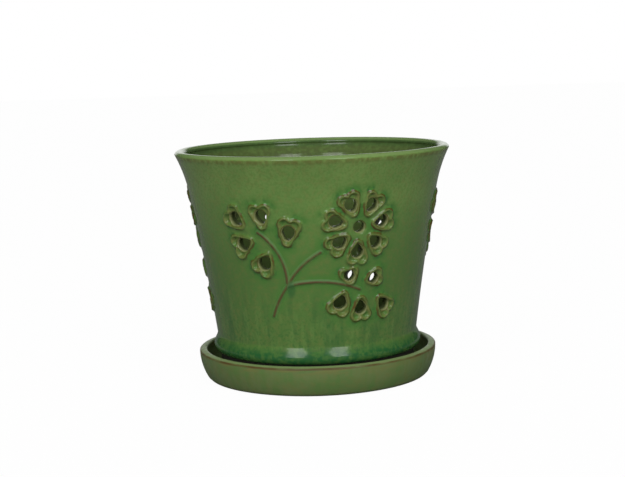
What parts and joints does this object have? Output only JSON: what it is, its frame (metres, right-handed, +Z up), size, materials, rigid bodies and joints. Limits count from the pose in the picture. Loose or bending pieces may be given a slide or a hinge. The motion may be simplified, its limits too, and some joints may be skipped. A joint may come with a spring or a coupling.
{
  "type": "orchid pot",
  "caption": "Round flared green-glazed stoneware orchid pot with raised flowering sprays pierced by air slots, standing in a loose round saucer it lifts out of.",
  "frame": {"origin": "under the middle of the saucer, on the surface that it stands on", "axes": "+Z up along the pot's turning axis, -Y towards the side that faces the viewer in the picture, +X to the viewer's right"},
  "size_m": [0.19, 0.19, 0.1596],
  "materials": {
    "pot_glaze": "glossy green glaze over stoneware, brown where it breaks over edges",
    "saucer_glaze": "satin olive-green glaze over stoneware"
  },
  "bodies": {
    "saucer": {"saucer": "saucer_glaze"},
    "pot": {"pot": "pot_glaze"}
  },
  "joints": [
    {"name": "pot_lift", "type": "slide", "parent": "saucer", "child": "pot", "axis": [0, 0, 1], "range_m": [0, 0.12]}
  ]
}
